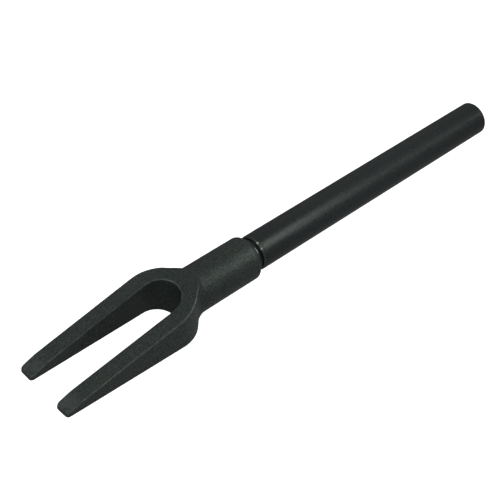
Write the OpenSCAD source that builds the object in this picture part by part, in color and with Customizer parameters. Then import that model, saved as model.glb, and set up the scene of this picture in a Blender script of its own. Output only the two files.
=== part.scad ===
// Ball joint separator: a forged wedge fork whose socket pushes onto the tang of a round
// steel handle and is held there by a rubber ring. The ring lies in a groove of the tang
// and nests in the countersunk mouth of the socket.
//
// Millimetres. The origin is the centre of the struck end face of the handle. +X runs
// along the tool towards the tips of the fork, +Z is the thick side of the wedge.

/* [Handle] */
// Diameter of the handle bar
handle_d = 19; // [17:0.5:22]
// Length of the handle bar, from the struck face to the shoulder
handle_l = 175.5; // [120:0.5:250]
// Chamfer round the struck face
struck_chamfer = 0.8; // [0.5:0.1:2]
// Chamfer round the shoulder
shoulder_chamfer = 0.8; // [0.4:0.1:1]

/* [Tang] */
// Diameter of the tang that fills the socket
tang_d = 15; // [14.5:0.1:15.5]
// Length of the tang, from the shoulder to its end
tang_l = 37; // [30:1:37]
// Chamfer round the end of the tang
tang_chamfer = 1.2; // [0.5:0.1:2]

/* [Retaining ring] */
// Outer diameter of the ring
ring_d = 18.4; // [17.8:0.1:18.6]
// Thickness of the ring
ring_wire_d = 2.6; // [2:0.1:2.8]
// Distance from the shoulder to the middle of the ring
ring_from_shoulder = 2.6; // [2.3:0.1:2.8]
// Clearance between the ring and what holds it, on every side
ring_play = 0.05; // [0.02:0.01:0.1]

/* [Socket] */
// Outer diameter of the socket boss
boss_d = 23.5; // [23:0.5:25]
// Rounding of the boss at the mouth of the socket
boss_round = 2; // [0.5:0.1:2.2]
// Gap between the shoulder and the mouth of the socket
mouth_gap = 3.9; // [3.5:0.1:4.1]
// Radial clearance between the tang and the socket
tang_play = 0.04; // [0.02:0.01:0.1]

/* [Fork] */
// Length of the fork head, from the mouth of the socket to the tips
head_l = 125; // [115:0.1:150]
// Width over the shoulders of the fork
root_w = 36.8; // [35:0.1:38]
// Width over the tips of the fork
tip_w = 35.4; // [33:0.1:36]
// Width of the slot where its round end starts
slot_root_w = 20.3; // [19:0.1:22]
// Width of the slot between the tips
slot_tip_w = 18.3; // [18:0.1:19]
// Distance from the mouth of the socket to the round end of the slot
slot_end = 47.2; // [46:0.1:52]

/* [Wedge] */
// Slope of the upper face of the wedge, in degrees
top_slope = 11.9; // [10:0.1:12]
// Slope of the lower face of the wedge, in degrees
bottom_slope = 1.3; // [0:0.1:2]
// Thickness of the wedge at the tips, before their bevels
tip_t = 4.1; // [4:0.1:6]
// Thickness that the bevels leave at the tips
tip_edge_t = 2.6; // [1:0.1:3.2]
// Length of the bevels
bevel_l = 8.5; // [6:0.5:14]
// Rounding of the corners of the tips
tip_round = 1.8; // [1:0.1:3]

/* [Hidden] */
$fn = 96;

steel = "#2f3331";
rubber = "#141515";

// Overlap of cutters past the faces that they cut
past = 1;

tang_r = tang_d / 2;
boss_r = boss_d / 2;
mouth_x = handle_l + mouth_gap;
tip_x = mouth_x + head_l;

// The ring lies in a groove of the tang
ring_x = handle_l + ring_from_shoulder;
ring_mid_r = (ring_d - ring_wire_d) / 2;
groove_r = ring_mid_r - ring_wire_d / 2 - ring_play;
groove_w = ring_wire_d + 2 * ring_play;

// The ring nests in a 45 degree countersink in the mouth of the socket
bore_r = tang_r + tang_play;
nest = sqrt(2) * (ring_wire_d / 2 + ring_play);
countersink = ring_x + ring_mid_r + nest - mouth_x - bore_r;

// The tang bottoms in the socket, with a film of air between them
floor_gap = 0.05;
socket_floor_x = handle_l + tang_l + floor_gap;

// The slot ends in a half circle
slot_end_r = slot_root_w / 2;
slot_x = mouth_x + slot_end + slot_end_r;

// The shoulders are arcs round the slot's end, a little larger than half the root's width,
// and they are drawn in to a round nose over the boss
shoulder_swell = 1;
shoulder_r = root_w / 2 + shoulder_swell;
shoulder_x = slot_x - shoulder_swell;
nose_r = 11;
nose_back = 11.8;
nose_x = slot_x - nose_back;

// The level crown of the wedge stands this far above the boss
crown = 0.15;
wedge_top = boss_r + crown;

// The tips lie this far below the axis
tip_bottom = -8.8;
tip_top = tip_bottom + tip_t;

// The boss runs out under the wedge, over this length and by this much of its radius
runout_l = 6;
runout = 1.5;
runout_x = nose_x - runout_l;

// Where a straight line from point p touches a circle, on the given side of the centre
function touch(centre, r, p, side) =
    let (d = p - centre, a = atan2(d[1], d[0]) + side * acos(r / norm(d)))
    centre + r * [cos(a), sin(a)];

// Direction from the centres to the points where a straight line lies on two circles
function tangent_angle(c1, r1, c2, r2, side) =
    let (d = c2 - c1)
    atan2(d[1], d[0]) + side * acos((r1 - r2) / norm(d));

function on_circle(centre, r, a) = centre + r * [cos(a), sin(a)];

// A solid of revolution about the X axis, from [x, radius] points
module turned(points) {
    rotate([0, 90, 0])
        rotate_extrude()
            polygon([for (p = points) [p[1], p[0]]]);
}

module handle() {
    r = handle_d / 2;
    tang_end = handle_l + tang_l;
    color(steel)
        turned([
            [0, 0],
            [0, r - struck_chamfer],
            [struck_chamfer, r],
            [handle_l - shoulder_chamfer, r],
            [handle_l, r - shoulder_chamfer],
            [handle_l, tang_r],
            [ring_x - groove_w / 2, tang_r],
            [ring_x - groove_w / 2, groove_r],
            [ring_x + groove_w / 2, groove_r],
            [ring_x + groove_w / 2, tang_r],
            [tang_end - tang_chamfer, tang_r],
            [tang_end, tang_r - tang_chamfer],
            [tang_end, 0],
        ]);
}

module retaining_ring() {
    color(rubber)
        translate([ring_x, 0, 0])
            rotate([0, 90, 0])
                rotate_extrude()
                    translate([ring_mid_r, 0])
                        circle(d = ring_wire_d, $fn = 48);
}

// One side of the fork's outline, from the middle line to the outer edge
module outline_side(side) {
    shoulder = [shoulder_x, -side * (shoulder_r - root_w / 2)];
    nose = [nose_x, 0];
    tip = [tip_x, side * tip_w / 2];
    a = tangent_angle(shoulder, shoulder_r, nose, nose_r, -side);
    polygon([
        nose,
        on_circle(nose, nose_r, a),
        on_circle(shoulder, shoulder_r, a),
        touch(shoulder, shoulder_r, tip, side),
        tip,
        [tip_x, 0],
    ]);
    translate(nose)
        circle(r = nose_r);
    intersection() {
        translate(shoulder)
            circle(r = shoulder_r);
        translate([shoulder_x - shoulder_r, side > 0 ? 0 : -root_w])
            square([2 * shoulder_r, root_w]);
    }
}

module slot_outline() {
    centre = [slot_x, 0];
    mouth = [tip_x + past, slot_tip_w / 2];
    corner = touch(centre, slot_end_r, mouth, 1);
    translate(centre)
        circle(r = slot_end_r);
    polygon([corner, mouth, [mouth[0], -mouth[1]], [corner[0], -corner[1]]]);
}

// What the rounding takes off a corner of a tip, where side points out of the tine in Y
module corner_waste(x, y, side) {
    difference() {
        translate([x - tip_round, y - (side > 0 ? tip_round : past)])
            square([tip_round + past, tip_round + past]);
        translate([x - tip_round, y - side * tip_round])
            circle(r = tip_round, $fn = 48);
    }
}

module fork_outline() {
    difference() {
        union() {
            outline_side(1);
            outline_side(-1);
        }
        slot_outline();
        for (side = [-1, 1]) {
            corner_waste(tip_x, side * tip_w / 2, side);
            corner_waste(tip_x, side * slot_tip_w / 2, -side);
        }
    }
}

// Side view of the wedge: a level crown, the slope, the tip bevel and the lower face
module wedge_outline() {
    bevel_x = tip_x - bevel_l;
    crown_x = tip_x - (wedge_top - tip_top) / tan(top_slope);
    nose_end = nose_x - nose_r - past;
    polygon([
        [nose_end, wedge_top],
        [crown_x, wedge_top],
        [bevel_x, tip_top + bevel_l * tan(top_slope)],
        [tip_x, tip_bottom + tip_edge_t],
        [tip_x, tip_bottom],
        [nose_end, tip_bottom - (tip_x - nose_end) * tan(bottom_slope)],
    ]);
}

module wedge() {
    intersection() {
        translate([0, 0, -boss_d])
            linear_extrude(height = 2 * boss_d)
                fork_outline();
        translate([0, boss_d, 0])
            rotate([90, 0, 0])
                linear_extrude(height = 2 * boss_d)
                    wedge_outline();
    }
}

// The boss has a round edge at its mouth, and tapers off under the wedge
module boss() {
    translate([mouth_x, 0, 0])
        rotate([0, 90, 0])
            rotate_extrude() {
                square([boss_r - boss_round, runout_x - mouth_x]);
                translate([0, boss_round])
                    square([boss_r, runout_x - mouth_x - boss_round]);
                translate([boss_r - boss_round, boss_round])
                    circle(r = boss_round);
            }
    translate([runout_x, 0, 0])
        rotate([0, 90, 0])
            cylinder(h = runout_l, r1 = boss_r, r2 = boss_r - runout);
}

module socket() {
    turned([
        [mouth_x - past, 0],
        [mouth_x - past, bore_r + countersink + past],
        [mouth_x + countersink, bore_r],
        [socket_floor_x, bore_r],
        [socket_floor_x, 0],
    ]);
}

module fork_head() {
    color(steel)
        difference() {
            union() {
                wedge();
                boss();
            }
            socket();
        }
}

handle();
retaining_ring();
fork_head();
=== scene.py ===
"""Looks of the ball joint separator: a forged fork, a round steel handle and a rubber ring.

The CAD model gives the places and the main sizes. The shapes are worked out in millimetres,
in the CAD model's frame: +X runs from the struck end of the handle to the tips of the fork,
and +Z is the thick side of the wedge. Each mesh is scaled to metres when it is made.
"""

import math

import bpy
import numpy as np
from mathutils import Matrix, Vector


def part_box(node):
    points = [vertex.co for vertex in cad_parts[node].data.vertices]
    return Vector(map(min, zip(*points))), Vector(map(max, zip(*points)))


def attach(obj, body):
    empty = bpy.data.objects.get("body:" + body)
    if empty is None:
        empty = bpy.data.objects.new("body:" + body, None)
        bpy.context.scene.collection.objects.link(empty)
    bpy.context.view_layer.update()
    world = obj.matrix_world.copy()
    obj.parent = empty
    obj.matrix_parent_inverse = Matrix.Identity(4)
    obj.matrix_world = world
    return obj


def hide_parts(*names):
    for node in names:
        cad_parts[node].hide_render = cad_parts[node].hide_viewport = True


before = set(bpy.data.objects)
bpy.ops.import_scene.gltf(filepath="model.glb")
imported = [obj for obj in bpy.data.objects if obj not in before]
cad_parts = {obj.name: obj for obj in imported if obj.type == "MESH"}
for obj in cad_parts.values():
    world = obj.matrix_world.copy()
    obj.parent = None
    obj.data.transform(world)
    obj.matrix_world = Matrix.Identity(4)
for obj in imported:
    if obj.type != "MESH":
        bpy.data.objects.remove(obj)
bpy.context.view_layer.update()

MM = 0.001


def box_mm(node):
    """The lowest and highest corners of a CAD node, in millimetres."""
    low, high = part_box(node)
    return np.array(low) / MM, np.array(high) / MM


# Sizes, in millimetres

HANDLE_HIGH = box_mm("handle")[1]
RING_LOW, RING_HIGH = box_mm("retaining_ring")
FORK_LOW, FORK_HIGH = box_mm("fork_head")

# The handle: a bar, its chamfers, the tang that fills the socket, and how its corners are rounded
HANDLE_R = HANDLE_HIGH[2]
TANG_END = HANDLE_HIGH[0]
TANG_L = 37
TANG_R = 7.5
SHOULDER_X = TANG_END - TANG_L
STRUCK_CHAMFER = 0.8
SHOULDER_CHAMFER = 0.8
TANG_CHAMFER = 1.2
TURNED_EDGE_R = 0.25
TANG_CORNER_R = 0.3
GROOVE_EDGE_R = 0.1
GROOVE_CORNER_R = 0.3

# The ring, and the groove that holds it
WIRE_D = RING_HIGH[0] - RING_LOW[0]
RING_X = (RING_HIGH[0] + RING_LOW[0]) / 2
RING_R = RING_HIGH[2] - WIRE_D / 2
RING_PLAY = 0.05
GROOVE_R = RING_R - WIRE_D / 2 - RING_PLAY
GROOVE_W = WIRE_D + 2 * RING_PLAY

# The socket and its boss
MOUTH_X = FORK_LOW[0]
BOSS_R = -FORK_LOW[2]
BOSS_ROUND = 2
TANG_PLAY = 0.04
BORE_R = TANG_R + TANG_PLAY
COUNTERSINK = RING_X + RING_R + math.sqrt(2) * (WIRE_D / 2 + RING_PLAY) - MOUTH_X - BORE_R
FLOOR_GAP = 0.05
SOCKET_FLOOR = TANG_END + FLOOR_GAP
SOCKET_EDGE_R = 0.35

# The fork, seen from above
TIP_X = FORK_HIGH[0]
ROOT_HALF_W = FORK_HIGH[1]
TIP_HALF_W = 17.7
SLOT_TIP_HALF_W = 9.15
SLOT_END_R = 10.15
SLOT_END = 47.2
SLOT_X = MOUTH_X + SLOT_END + SLOT_END_R
SHOULDER_SWELL = 1
SHOULDER_R = ROOT_HALF_W + SHOULDER_SWELL
SHOULDER_BEND_X = SLOT_X - SHOULDER_SWELL
NOSE_R = 11
NOSE_BACK = 11.8
NOSE_X = SLOT_X - NOSE_BACK
NOSE_END = NOSE_X - NOSE_R

# How the corners of the tips are rounded. One inner corner is more worn.
TIP_CORNER_R = 2.8
WORN_CORNER_R = 3.1

# The boss tapers off under the wedge, over this length and by this much of its radius
RUNOUT_L = 6
RUNOUT = 1.5
RUNOUT_X = NOSE_X - RUNOUT_L

# The wedge, seen from the side
CROWN_Z = FORK_HIGH[2]
TOP_SLOPE = math.radians(11.9)
BOTTOM_SLOPE = math.radians(1.3)
TIP_BOTTOM = -8.8
TIP_T = 4.1
TIP_EDGE_T = 2.6
BEVEL_L = 8.5
BEVEL_X = TIP_X - BEVEL_L
BEVEL_TOP = TIP_BOTTOM + TIP_T + BEVEL_L * math.tan(TOP_SLOPE)
CROWN_X = TIP_X - (CROWN_Z - TIP_BOTTOM - TIP_T) / math.tan(TOP_SLOPE)
BEHIND_NOSE = 2

# How the forging is rounded. A pair of values is where a smooth step starts and where it ends.
EDGE_R = 0.7
LOWER_EDGE_R = 0.5
LOWER_EDGE_TOP = TIP_BOTTOM + 1
NOSE_EDGE_R = 2
NOSE_EDGE = (NOSE_END, NOSE_X - 4)
FILLET_R = 2.8

# The bends in the side view, and how far below or behind its corners their circles sit
TIP_EDGE_R = 1.3
TIP_EDGE_SINK = 0.7 * TIP_EDGE_R
BEVEL_BEND_R = 3
BEVEL_BEND_BACK = 0.6
CROWN_BEND_R = 25
CROWN_BEND_BACK = 2.5

# The fillet between the boss and the wedge grows from the crown down, by this much per millimetre
FILLET_GROWTH = 0.8
LEAST_FILLET_R = 0.15

# The walls behind the slot lean in by this much over their height. The lean is lost towards
# the tines, and towards the middle line.
DRAFT = 1.6
DRAFT_LOST = (SLOT_X - 11, SLOT_X + 3)
DRAFT_SIDE = (3, 12)

# The tips are worn: one is shorter, and the other is ground at a slant
TIP_WEAR = 0.3
TIP_SLANT = 0.05
TIP_WEAR_L = 20

# The coat is rubbed off bends that are this sharp, in 1/mm, from the nose forwards
SHARP_BEND = (0.6, 1.3)
BEND_REACH = 0.35
RUBBED_FROM = (NOSE_X - 10, NOSE_X - 3)

# The tips are rubbed by this share where they face up, and by twice as much on their ends
TIP_RUB = 0.25
TIP_RUB_FROM = (BEVEL_X - 4, BEVEL_X + 4)
FACING_OUT = (0.6, 0.8)
FACING_FORWARDS = (0.2, 0.7)

# Painted shade: the slot darkens the colour and shine of the metal this near to it, by half round
# its end, in full along the tines, and not at all at the tips
SLOT_WALL = (-1.5, -0.2)
FULL_SHADE = (SLOT_X - 5, SLOT_X + 15)
SHADE_LOST = (TIP_X - 42, TIP_X - 7)

# The grid that the fork is meshed on: its cells, and how far it reaches past the fork
CELL = 0.4
MOUTH_CELL = 0.25
MOUTH_CELLS_L = 3
PAST_MOUTH = 1
PAST_TIPS = 1.2
PAST_SIDES = 1.3
PAST_BOSS = 1.1
PAST_CROWN = 1.3

# The bar's coat is rubbed off its chamfers, where no part of the normal is within this of 1
CHAMFER_SLANT = (0.02, 0.25)

# The faces round a turned piece, and round the ring's wire
TURNS = 128
WIRE_TURNS = 40


# Distances: each is negative inside the shape

def smoothstep(low, high, value):
    """A smooth step from 0, at low, to 1, at high."""
    share = np.clip((value - low) / (high - low), 0, 1)
    return share * share * (3 - 2 * share)


def round_hull(x, y, circles):
    """Distance from the outline that a belt takes round circles (x, y, radius), anticlockwise."""
    spots = np.array(circles, float)
    ways = np.roll(spots, -1, axis=0) - spots
    lengths = np.hypot(ways[:, 0], ways[:, 1])
    lean = -ways[:, 2] / lengths
    ways = ways[:, :2] / lengths[:, None]
    rights = np.stack([ways[:, 1], -ways[:, 0]], axis=1)
    normals = np.sqrt(1 - lean ** 2)[:, None] * rights + lean[:, None] * ways
    distance = -np.inf
    for spot, before, after in zip(spots, np.roll(normals, 1, axis=0), normals):
        u = x - spot[0]
        v = y - spot[1]
        distance = np.maximum(distance, u * after[0] + v * after[1] - spot[2])
        in_corner = (before[0] * v - before[1] * u > 0) & (u * after[1] - v * after[0] > 0)
        distance = np.where(in_corner, np.maximum(distance, np.hypot(u, v) - spot[2]), distance)
    return distance


def meet(a, b, radius):
    """What two shapes share, with a rounded edge between them."""
    rounding = np.hypot(np.maximum(a + radius, 0), np.maximum(b + radius, 0))
    return np.minimum(np.maximum(a, b), -radius) + rounding


def join(a, b, radius):
    """Two shapes together, with a fillet between them."""
    fillet = np.hypot(np.maximum(radius - a, 0), np.maximum(radius - b, 0))
    return np.maximum(np.minimum(a, b), radius) - fillet


def slot_distance(x, y):
    """The slot between the tines: a half circle, and walls that run on past the tips."""
    mouth = np.array([TIP_X - SLOT_X, SLOT_TIP_HALF_W])
    angle = math.atan2(mouth[1], mouth[0]) + math.acos(SLOT_END_R / np.linalg.norm(mouth))
    u = x - SLOT_X
    v = np.abs(y)
    wall = u * math.cos(angle) + v * math.sin(angle) - SLOT_END_R
    along = u * math.sin(angle) - v * math.cos(angle)
    return np.where(along > 0, wall, np.hypot(u, v) - SLOT_END_R)


def outline_distance(x, y):
    """The fork from above, without its slot. It runs past the tips, which the side view ends."""
    tip = TIP_X + EDGE_R - TIP_CORNER_R
    return round_hull(x, y, [
        (NOSE_X, 0, NOSE_R),
        (SHOULDER_BEND_X, SHOULDER_SWELL, SHOULDER_R),
        (tip, TIP_CORNER_R - TIP_HALF_W, TIP_CORNER_R),
        (tip, TIP_HALF_W - TIP_CORNER_R, TIP_CORNER_R),
        (SHOULDER_BEND_X, -SHOULDER_SWELL, SHOULDER_R),
    ])


def side_distance(x, z):
    """The wedge from the side, from behind the nose: lower face, tip, bevel, slope and crown."""
    back = NOSE_END - BEHIND_NOSE
    return round_hull(x, z, [
        (back, TIP_BOTTOM - (TIP_X - back) * math.tan(BOTTOM_SLOPE), 0),
        (TIP_X - LOWER_EDGE_R, TIP_BOTTOM + LOWER_EDGE_R, LOWER_EDGE_R),
        (TIP_X - TIP_EDGE_R, TIP_BOTTOM + TIP_EDGE_T - TIP_EDGE_SINK, TIP_EDGE_R),
        (BEVEL_X - BEVEL_BEND_BACK, BEVEL_TOP - BEVEL_BEND_R, BEVEL_BEND_R),
        (CROWN_X - CROWN_BEND_BACK, CROWN_Z - CROWN_BEND_R, CROWN_BEND_R),
        (back, CROWN_Z, 0),
    ])


def wedge_distance(x, y, z):
    """The forked wedge: its outline and its side view, with worn tips and leaning shoulders."""
    slant = TIP_SLANT * np.maximum(y - SLOT_TIP_HALF_W, 0)
    x = x + np.where(y > 0, slant, TIP_WEAR) * smoothstep(TIP_X - TIP_WEAR_L, TIP_X, x)
    lean = DRAFT * (1 - smoothstep(*DRAFT_LOST, x)) * smoothstep(*DRAFT_SIDE, np.abs(y))
    height = np.clip((z - TIP_BOTTOM) / (CROWN_Z - TIP_BOTTOM), 0, 1)
    corner = np.where(y > 0, WORN_CORNER_R, TIP_CORNER_R)
    plan = meet(outline_distance(x, y) + lean * height, -slot_distance(x, y), corner)
    at_nose = 1 - smoothstep(*NOSE_EDGE, x)
    edge = EDGE_R + (NOSE_EDGE_R - EDGE_R) * at_nose
    edge = np.where(z > LOWER_EDGE_TOP, edge, LOWER_EDGE_R)
    return meet(plan, side_distance(x, z), edge)


def boss_distance(x, radius):
    """The socket's round boss. Its mouth has a round edge, and it tapers off under the wedge."""
    return round_hull(x, radius, [
        (MOUTH_X + BOSS_ROUND, BOSS_ROUND - BOSS_R, BOSS_ROUND),
        (RUNOUT_X, -BOSS_R, 0),
        (NOSE_X, RUNOUT - BOSS_R, 0),
        (NOSE_X, BOSS_R - RUNOUT, 0),
        (RUNOUT_X, BOSS_R, 0),
        (MOUTH_X + BOSS_ROUND, BOSS_R - BOSS_ROUND, BOSS_ROUND),
    ])


def fork_distance(x, y, z):
    """The fork head: the wedge and the boss, less the socket and its countersink."""
    radius = np.hypot(y, z)
    fillet = np.clip(FILLET_GROWTH * (CROWN_Z - np.abs(z)), LEAST_FILLET_R, FILLET_R)
    solid = join(boss_distance(x, radius), wedge_distance(x, y, z), fillet)
    bore = np.maximum(radius - BORE_R, x - SOCKET_FLOOR)
    cone = (radius + x - MOUTH_X - COUNTERSINK - BORE_R) / math.sqrt(2)
    return meet(meet(solid, -bore, SOCKET_EDGE_R), -cone, SOCKET_EDGE_R)


# Meshes

def gradient(field, points, step=0.02):
    """The slope of a field at each point."""
    slopes = []
    for axis in range(3):
        offset = np.zeros(3)
        offset[axis] = step
        ahead = field(*(points + offset).T)
        behind = field(*(points - offset).T)
        slopes.append((ahead - behind) / (2 * step))
    return np.stack(slopes, axis=1)


def unit(vectors):
    """Each vector, scaled to a length of 1."""
    return vectors / np.linalg.norm(vectors, axis=1)[:, None]


def settle(field, points):
    """Moves points onto the surface where a field is zero."""
    for _ in range(3):
        slope = gradient(field, points)
        size = np.maximum((slope ** 2).sum(axis=1), 0.25)
        points = points - (field(*points.T) / size)[:, None] * slope
    return points


def net(field, grid):
    """A quad mesh of the surface where a field is zero, with a vertex in each crossed cell."""
    xs, ys, zs = grid
    values = field(xs[:, None, None], ys[None, :, None], zs[None, None, :])
    inside = values < 0
    count = np.zeros([n - 1 for n in inside.shape], np.int8)
    for i in (0, 1):
        for j in (0, 1):
            for k in (0, 1):
                count += inside[
                    i:inside.shape[0] - 1 + i, j:inside.shape[1] - 1 + j, k:inside.shape[2] - 1 + k
                ]
    crossed = (count > 0) & (count < 8)
    index = np.full(crossed.shape, -1)
    index[crossed] = np.arange(crossed.sum())
    total = np.zeros((crossed.sum(), 3))
    hits = np.zeros(crossed.sum())
    quads = []
    for axis in range(3):
        u = (axis + 1) % 3
        v = (axis + 2) % 3
        low = np.moveaxis(values, axis, 0)[:-1]
        high = np.moveaxis(values, axis, 0)[1:]
        edges = np.argwhere(np.moveaxis((low < 0) != (high < 0), 0, axis))
        ends = edges.copy()
        ends[:, axis] += 1
        before = values[tuple(edges.T)]
        after = values[tuple(ends.T)]
        share = before / (before - after)
        spots = np.stack([grid[a][edges[:, a]] for a in range(3)], axis=1)
        spots[:, axis] += share * (grid[axis][ends[:, axis]] - grid[axis][edges[:, axis]])
        ring = []
        for du, dv in ((1, 1), (0, 1), (0, 0), (1, 0)):
            cells = edges.copy()
            cells[:, u] -= du
            cells[:, v] -= dv
            members = index[tuple(cells.T)]
            ring.append(members)
            hits += np.bincount(members, minlength=len(hits))
            for a in range(3):
                total[:, a] += np.bincount(members, spots[:, a], minlength=len(hits))
        ring = np.stack(ring, axis=1)
        ring[before > 0] = ring[before > 0, ::-1]
        quads.append(ring)
    return total / hits[:, None], np.concatenate(quads)


def relax(points, quads):
    """Moves each point half way to the middle of the quads round it."""
    middles = points[quads].mean(axis=1)
    corners = quads.ravel()
    hits = np.bincount(corners, minlength=len(points))
    means = np.stack(
        [np.bincount(corners, np.repeat(middles[:, a], 4), len(points)) / hits for a in range(3)],
        axis=1,
    )
    return (points + means) / 2


def make_piece(name, points, faces, normals, **shares):
    """A smooth mesh object. Its shares, from 0 to 1, are kept for the material."""
    mesh = bpy.data.meshes.new(name)
    mesh.from_pydata((points * MM).tolist(), [], faces)
    mesh.shade_smooth()
    mesh.normals_split_custom_set_from_vertices(normals.tolist())
    for share, values in shares.items():
        mesh.attributes.new(share, "FLOAT", "POINT").data.foreach_set("value", values)
    piece = bpy.data.objects.new(name, mesh)
    bpy.context.scene.collection.objects.link(piece)
    return piece


def rounded_path(corners, steps=6):
    """Points and left-hand normals of an open line, with arcs at its corners (x, y, radius)."""
    spots = np.array(corners, float)
    ways = unit(np.diff(spots[:, :2], axis=0))
    lefts = np.stack([-ways[:, 1], ways[:, 0]], axis=1)
    points = [spots[0, :2]]
    normals = [lefts[0]]
    for spot, before, after in zip(spots[1:-1], lefts[:-1], lefts[1:]):
        turn = math.atan2(before[0] * after[1] - before[1] * after[0], before @ after)
        side = -1 if turn > 0 else 1
        centre = spot[:2] - side * spot[2] * (before + after) / (1 + before @ after)
        for angle in np.linspace(0, turn, steps):
            c, s = math.cos(angle), math.sin(angle)
            normal = np.array([c * before[0] - s * before[1], s * before[0] + c * before[1]])
            points.append(centre + side * spot[2] * normal)
            normals.append(normal)
    points.append(spots[-1, :2])
    normals.append(lefts[-1])
    return np.array(points), np.array(normals)


def spin(profile, turns):
    """Each (x, radius) of a profile, turned about the X axis."""
    angles = np.arange(turns) * 2 * math.pi / turns
    x = np.repeat(profile[:, :1], turns, axis=1)
    y = profile[:, 1:] * -np.sin(angles)
    z = profile[:, 1:] * np.cos(angles)
    return np.stack([x, y, z], axis=2).reshape(-1, 3)


def band(first, second, turns):
    """The quads between two rings of points."""
    quads = []
    for i in range(turns):
        j = (i + 1) % turns
        quads.append((first + i, first + j, second + j, second + i))
    return quads


# Pieces

def spacing(stops):
    """Grid values through (start, step) pairs, up to the last pair's start."""
    parts = []
    for (start, step), (end, _) in zip(stops, stops[1:]):
        count = round((end - start) / step)
        parts.append(start + np.arange(count) * (end - start) / count)
    return np.concatenate(parts)


def fork_bends(points):
    """How sharply the fork bends at each point, in 1/mm: over 0 on edges, under 0 in fillets."""
    total = -6 * fork_distance(*points.T)
    for axis in range(3):
        for sign in (-1, 1):
            offset = np.zeros(3)
            offset[axis] = sign * BEND_REACH
            total = total + fork_distance(*(points + offset).T)
    return total / BEND_REACH ** 2


def fork_rubbing(points, normals):
    """How far the coat is rubbed off at each point: along the edges and on the tips."""
    x = points[:, 0]
    along_edges = smoothstep(*SHARP_BEND, fork_bends(points)) * smoothstep(*RUBBED_FROM, x)
    on_tips = TIP_RUB * smoothstep(*TIP_RUB_FROM, x)
    on_tips *= smoothstep(*FACING_OUT, np.maximum(normals[:, 2], normals[:, 0]))
    on_tips *= 1 + smoothstep(*FACING_FORWARDS, normals[:, 0])
    return np.maximum(along_edges, on_tips)


def fork_painted_shade(points):
    """How much painted shade the slot lays on each point, from 0 to 1."""
    x, y, _ = points.T
    shade = smoothstep(*SLOT_WALL, -slot_distance(x, y))
    shade *= 0.5 + 0.5 * smoothstep(*FULL_SHADE, x)
    return shade * (1 - smoothstep(*SHADE_LOST, x))


def fork():
    """The forged fork head, with one seamless skin of quads."""
    grid = (
        spacing([
            (MOUTH_X - PAST_MOUTH, MOUTH_CELL),
            (MOUTH_X + MOUTH_CELLS_L, CELL),
            (TIP_X + PAST_TIPS, 0),
        ]),
        spacing([(-ROOT_HALF_W - PAST_SIDES, CELL), (ROOT_HALF_W + PAST_SIDES, 0)]),
        spacing([(-BOSS_R - PAST_BOSS, CELL), (BOSS_R + PAST_CROWN, 0)]),
    )
    points, quads = net(fork_distance, grid)
    for _ in range(3):
        points = settle(fork_distance, relax(points, quads))
    normals = unit(gradient(fork_distance, points))
    return make_piece(
        "forged_fork",
        points,
        quads.tolist(),
        normals,
        edge=fork_rubbing(points, normals),
        hollow=fork_painted_shade(points),
    )


def handle():
    """The turned handle bar and its tang, with a groove for the ring."""
    points, normals = rounded_path([
        (0, 0, 0),
        (0, HANDLE_R - STRUCK_CHAMFER, TURNED_EDGE_R),
        (STRUCK_CHAMFER, HANDLE_R, TURNED_EDGE_R),
        (SHOULDER_X - SHOULDER_CHAMFER, HANDLE_R, TURNED_EDGE_R),
        (SHOULDER_X, HANDLE_R - SHOULDER_CHAMFER, TURNED_EDGE_R),
        (SHOULDER_X, TANG_R, TANG_CORNER_R),
        (RING_X - GROOVE_W / 2, TANG_R, GROOVE_EDGE_R),
        (RING_X - GROOVE_W / 2, GROOVE_R, GROOVE_CORNER_R),
        (RING_X + GROOVE_W / 2, GROOVE_R, GROOVE_CORNER_R),
        (RING_X + GROOVE_W / 2, TANG_R, GROOVE_EDGE_R),
        (TANG_END - TANG_CHAMFER, TANG_R, TURNED_EDGE_R),
        (TANG_END, TANG_R - TANG_CHAMFER, TURNED_EDGE_R),
        (TANG_END, 0, 0),
    ])
    rings = spin(points[1:-1], TURNS)
    ring_normals = spin(normals[1:-1], TURNS)
    slant = 1 - np.abs(normals[1:-1]).max(axis=1)
    edge = np.repeat(smoothstep(*CHAMFER_SLANT, slant), TURNS)
    last = len(rings)
    faces = []
    for i in range(len(points) - 3):
        faces += band(i * TURNS, (i + 1) * TURNS, TURNS)
    for i in range(TURNS):
        j = (i + 1) % TURNS
        faces.append((last, j, i))
        faces.append((last + 1, last - TURNS + i, last - TURNS + j))
    ends = np.array([[0, 0, 0], [TANG_END, 0, 0]])
    end_normals = np.array([[-1, 0, 0], [1, 0, 0]])
    return make_piece(
        "handle_bar",
        np.concatenate([rings, ends]),
        faces,
        np.concatenate([ring_normals, end_normals]),
        edge=np.concatenate([edge, [0, 0]]),
    )


def ring():
    """The rubber ring, round in section."""
    angles = -np.arange(WIRE_TURNS) * 2 * math.pi / WIRE_TURNS
    normals = np.stack([np.cos(angles), np.sin(angles)], axis=1)
    points = np.array([RING_X, RING_R]) + WIRE_D / 2 * normals
    faces = []
    for i in range(WIRE_TURNS):
        faces += band(i * TURNS, (i + 1) % WIRE_TURNS * TURNS, TURNS)
    return make_piece("rubber_ring", spin(points, TURNS), faces, spin(normals, TURNS))


# Materials

def node(tree, kind, inputs=None, **settings):
    """A shader node, its settings, and its inputs: plain values or other nodes' outputs."""
    made = tree.nodes.new(kind)
    for key, value in settings.items():
        setattr(made, key, value)
    for key, value in (inputs or {}).items():
        if isinstance(value, bpy.types.NodeSocket):
            tree.links.new(value, made.inputs[key])
        else:
            made.inputs[key].default_value = value
    return made


def stretched(tree, value, from_low, from_high, low, high):
    """A value, moved from one range to another and kept within it."""
    inputs = {
        "Value": value,
        "From Min": from_low,
        "From Max": from_high,
        "To Min": low,
        "To Max": high,
    }
    return node(tree, "ShaderNodeMapRange", inputs).outputs[0]


def between(tree, share, low, high):
    """A value that goes from low to high as a share goes from 0 to 1."""
    return stretched(tree, share, 0, 1, low, high)


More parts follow.
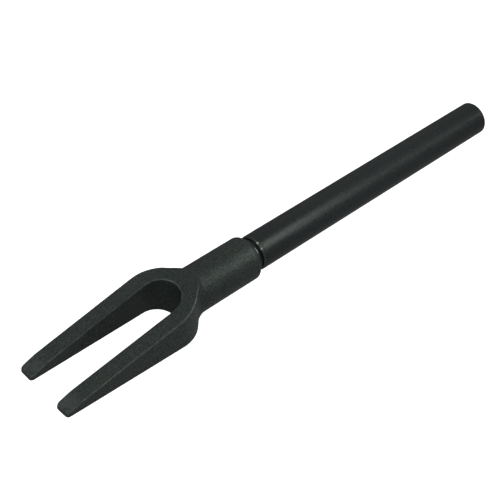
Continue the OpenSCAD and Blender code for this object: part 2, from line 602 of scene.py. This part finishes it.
def mottle(tree, where, scale, detail=2, roughness=0.5, span=(0.35, 0.65), most=1):
    """Soft spots, about this many to a metre: noise, with a span of it stretched to 0 to most."""
    inputs = {"Vector": where, "Scale": scale, "Detail": detail, "Roughness": roughness}
    value = node(tree, "ShaderNodeTexNoise", inputs).outputs[0]
    return stretched(tree, value, *span, 0, most)


def piece_share(tree, name):
    """A share that is kept on the piece itself."""
    return node(tree, "ShaderNodeAttribute", attribute_name=name).outputs["Fac"]


def mixed(tree, share, first, second):
    """A mix of two colours."""
    made = node(tree, "ShaderNodeMix", {0: share}, data_type="RGBA")
    for socket, value in ((made.inputs[6], first), (made.inputs[7], second)):
        if isinstance(value, bpy.types.NodeSocket):
            tree.links.new(value, socket)
        else:
            socket.default_value = (*value, 1)
    return made.outputs[2]


def math_node(tree, operation, first, second):
    return node(tree, "ShaderNodeMath", {0: first, 1: second}, operation=operation).outputs[0]


def product(tree, first, second):
    return math_node(tree, "MULTIPLY", first, second)


def scaled(tree, vector, factors):
    """A vector or a colour, multiplied by another one or by a share."""
    made = node(tree, "ShaderNodeVectorMath", {0: vector, 1: factors}, operation="MULTIPLY")
    return made.outputs[0]


def new_material(name):
    """A material, its tree, its main shader and the point on the piece, in metres."""
    material = bpy.data.materials.new(name)
    material.use_nodes = True
    tree = material.node_tree
    where = tree.nodes.new("ShaderNodeTexCoord").outputs["Object"]
    return material, tree, tree.nodes["Principled BSDF"], where


def bumped(tree, shader, height, distance):
    """Bump from a height, where a height of 1 is this distance in metres."""
    bump = node(tree, "ShaderNodeBump", {"Height": height, "Distance": distance, "Strength": 1})
    tree.links.new(bump.outputs[0], shader.inputs["Normal"])


def phosphated_forging():
    """A grey-green phosphate coat on a blasted forging: fine grain, a mottled cast, worn edges,
    and painted shade along the slot.
    """
    material, tree, shader, where = new_material("phosphated_forging")
    dark = (0.0195, 0.0255, 0.0220)
    pale = (0.0230, 0.0285, 0.0245)
    warm = (0.0325, 0.0310, 0.0190)
    cold = (0.0165, 0.0240, 0.0310)
    grains = (0.046, 0.053, 0.050)
    metal = (0.075, 0.080, 0.078)
    cloud = mottle(tree, where, 70, 3)
    blotch = mottle(tree, where, 500)
    cast = mottle(tree, where, 900, span=(0.4, 0.62), most=0.8)
    grain = mottle(tree, where, 1500, 3, 0.7)
    rubbed = product(tree, piece_share(tree, "edge"), between(tree, blotch, 0.35, 1))
    # Painted shade: the coat's colour and shine fall to 0.6 of their value next to the slot
    painted_shade_factor = between(tree, piece_share(tree, "hollow"), 1, 0.6)
    coat = mixed(tree, cloud, dark, pale)
    coat = mixed(tree, product(tree, blotch, 0.6), coat, warm)
    coat = mixed(tree, cast, coat, cold)
    coat = mixed(tree, product(tree, grain, 0.5), coat, grains)
    coat = mixed(tree, rubbed, coat, metal)
    tree.links.new(scaled(tree, coat, painted_shade_factor), shader.inputs["Base Color"])
    rough = between(tree, grain, 0.40, 0.30)
    rough = math_node(tree, "SUBTRACT", rough, product(tree, rubbed, 0.18))
    tree.links.new(rough, shader.inputs["Roughness"])
    shine = product(tree, between(tree, grain, 0.03, 0.44), painted_shade_factor)
    shine = math_node(tree, "ADD", shine, product(tree, rubbed, 0.45))
    tree.links.new(shine, shader.inputs["Specular IOR Level"])
    tint = mixed(tree, cast, (0.95, 1.0, 0.82), (0.76, 1.0, 1.0))
    tree.links.new(tint, shader.inputs["Specular Tint"])
    height = math_node(tree, "ADD", grain, product(tree, blotch, 0.8))
    height = product(tree, height, between(tree, rubbed, 1, 0.3))
    bumped(tree, shader, height, 0.00005)
    return material


def black_oxide_bar():
    """Black oxide on a turned bar: smoother than the forging, with fine marks round it."""
    material, tree, shader, where = new_material("black_oxide_bar")
    dark = (0.0110, 0.0140, 0.0132)
    pale = (0.0140, 0.0170, 0.0157)
    warm = (0.0200, 0.0195, 0.0130)
    cold = (0.0095, 0.0145, 0.0200)
    grains = (0.029, 0.033, 0.033)
    metal = (0.05, 0.054, 0.054)
    cloud = mottle(tree, where, 45, 3)
    blotch = mottle(tree, where, 500)
    cast = mottle(tree, where, 900, span=(0.4, 0.62), most=0.7)
    grain = mottle(tree, where, 1700, 3, 0.7)
    marks = mottle(tree, scaled(tree, where, (1, 0.03, 0.03)), 2600, span=(0.3, 0.7))
    rubbed = product(tree, piece_share(tree, "edge"), between(tree, blotch, 0.4, 1))
    coat = mixed(tree, cloud, dark, pale)
    coat = mixed(tree, product(tree, blotch, 0.5), coat, warm)
    coat = mixed(tree, cast, coat, cold)
    coat = mixed(tree, product(tree, grain, 0.45), coat, grains)
    coat = mixed(tree, rubbed, coat, metal)
    tree.links.new(coat, shader.inputs["Base Color"])
    rough = between(tree, grain, 0.36, 0.28)
    rough = math_node(tree, "SUBTRACT", rough, product(tree, rubbed, 0.22))
    tree.links.new(rough, shader.inputs["Roughness"])
    shine = between(tree, grain, 0.12, 0.34)
    shine = math_node(tree, "ADD", shine, product(tree, rubbed, 0.5))
    tree.links.new(shine, shader.inputs["Specular IOR Level"])
    tint = mixed(tree, cast, (0.97, 1.0, 0.88), (0.82, 1.0, 1.0))
    tree.links.new(tint, shader.inputs["Specular Tint"])
    height = math_node(tree, "ADD", product(tree, grain, 0.7), marks)
    height = product(tree, height, between(tree, rubbed, 1, 0.15))
    bumped(tree, shader, height, 0.00003)
    return material


def black_rubber():
    """Glossy black rubber, with a faint moulded skin."""
    material, tree, shader, where = new_material("black_rubber")
    dark = (0.003, 0.003, 0.003)
    pale = (0.006, 0.006, 0.006)
    skin = mottle(tree, where, 900, 3, span=(0.3, 0.7))
    tree.links.new(mixed(tree, skin, dark, pale), shader.inputs["Base Color"])
    tree.links.new(between(tree, skin, 0.07, 0.11), shader.inputs["Roughness"])
    shader.inputs["Specular IOR Level"].default_value = 0.75
    bumped(tree, shader, skin, 0.000005)
    return material


# Stage, camera and lights

def plain_floor():
    """A white floor, low enough for the head to swivel above it. Only the camera sees it."""
    half = 4
    swivel_room = 8
    z = -(ROOT_HALF_W + swivel_room) * MM
    mesh = bpy.data.meshes.new("floor")
    corners = [(-half, -half, z), (half, -half, z), (half, half, z), (-half, half, z)]
    mesh.from_pydata(corners, [], [(0, 1, 2, 3)])
    floor = bpy.data.objects.new("floor", mesh)
    bpy.context.scene.collection.objects.link(floor)
    material = bpy.data.materials.new("white_floor")
    material.use_nodes = True
    shader = material.node_tree.nodes["Principled BSDF"]
    shader.inputs["Base Color"].default_value = (0.8, 0.8, 0.8, 1)
    shader.inputs["Emission Color"].default_value = (1, 1, 1, 1)
    shader.inputs["Emission Strength"].default_value = 1
    mesh.materials.append(material)
    floor.visible_diffuse = False
    floor.visible_glossy = False
    floor.visible_shadow = False


def studio():
    """A grey room: palest above, and paler on the camera's side (+Y) than on the other."""
    world = bpy.data.worlds.new("studio")
    world.use_nodes = True
    tree = world.node_tree
    direction = tree.nodes.new("ShaderNodeTexCoord").outputs["Generated"]
    parts = node(tree, "ShaderNodeSeparateXYZ", {0: direction}).outputs
    near = stretched(tree, parts[1], -0.3, 0.2, 0, 1)
    table = mixed(tree, near, (0.12, 0.12, 0.12), (0.27, 0.28, 0.28))
    wall = mixed(tree, near, (0.11, 0.11, 0.11), (0.23, 0.23, 0.23))
    room = mixed(tree, stretched(tree, parts[2], -0.6, -0.3, 0, 1), table, wall)
    above = stretched(tree, parts[2], -0.1, 0.35, 0, 1)
    light = mixed(tree, above, room, (0.34, 0.35, 0.35))
    tree.links.new(light, tree.nodes["Background"].inputs["Color"])
    bpy.context.scene.world = world
    bpy.context.scene.view_settings.view_transform = "Standard"


def facing(direction, roll_towards):
    """A rotation that points -Z along a direction, with +X as near as it can to another."""
    back = -direction.normalized()
    right = (roll_towards - roll_towards.dot(back) * back).normalized()
    return Matrix((right, back.cross(right), back)).transposed()


def softbox(name, towards, distance, width, height, power, across):
    """An area light, at a distance from the joint in a direction. Its width runs along across."""
    joint = Vector((SHOULDER_X * MM, 0, 0))
    data = bpy.data.lights.new(name, "AREA")
    data.shape = "RECTANGLE"
    data.size = width
    data.size_y = height
    data.energy = power
    light = bpy.data.objects.new(name, data)
    direction = Vector(towards).normalized()
    spot = joint + direction * distance
    light.matrix_world = Matrix.Translation(spot) @ facing(-direction, Vector(across)).to_4x4()
    bpy.context.scene.collection.objects.link(light)


def camera():
    """A long lens, over the tips of the fork, held slightly rolled."""
    target = Vector((0.17467, -0.00246, 0))
    distance = 0.61143
    azimuth = math.radians(131.43)
    elevation = math.radians(45.10)
    roll = math.radians(7.235)
    level = math.cos(elevation)
    back = Vector((level * math.sin(azimuth), -level * math.cos(azimuth), math.sin(elevation)))
    data = bpy.data.cameras.new("camera")
    data.lens = 87.99
    eye = bpy.data.objects.new("camera", data)
    flat = Vector((math.cos(azimuth), math.sin(azimuth), 0))
    right = math.cos(roll) * flat + math.sin(roll) * back.cross(flat)
    eye.matrix_world = Matrix.Translation(target + distance * back) @ facing(-back, right).to_4x4()
    bpy.context.scene.collection.objects.link(eye)
    bpy.context.scene.camera = eye


def place(piece, body, cad_node, material):
    """Gives a piece its material and its body, and hides the CAD node that it stands for."""
    piece.data.materials.append(material)
    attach(piece, body)
    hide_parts(cad_node)


camera()
plain_floor()
studio()
softbox("key", (-0.529, 0.43, 0.73), 0.18, 0.1, 0.035, 0.105, (0, 1, -0.55))
softbox("over", (-0.529, 0.4, 0.75), 1.2, 0.9, 0.9, 1.4, (0, 1, -0.4))
softbox("fill", (0.2, -0.467, 0.85), 1.6, 0.5, 0.4, 2.0, (0, 1, 0))
softbox("back", (-0.82, 0.33, 0.46), 2.0, 0.25, 0.2, 1.2, (0, 1, 0))
softbox("side", (0.15, 0.75, 0.65), 0.9, 0.15, 0.06, 0.25, (1, 0, 0))
softbox("front_far", (0.80, -0.146, 0.582), 0.8, 0.06, 0.05, 0.42, (0, 1, 0))
softbox("front_near", (0.845, 0.32, 0.415), 0.8, 0.06, 0.05, 0.58, (0, 1, 0))

place(fork(), "head", "fork_head", phosphated_forging())
place(handle(), "handle", "handle", black_oxide_bar())
place(ring(), "ring", "retaining_ring", black_rubber())
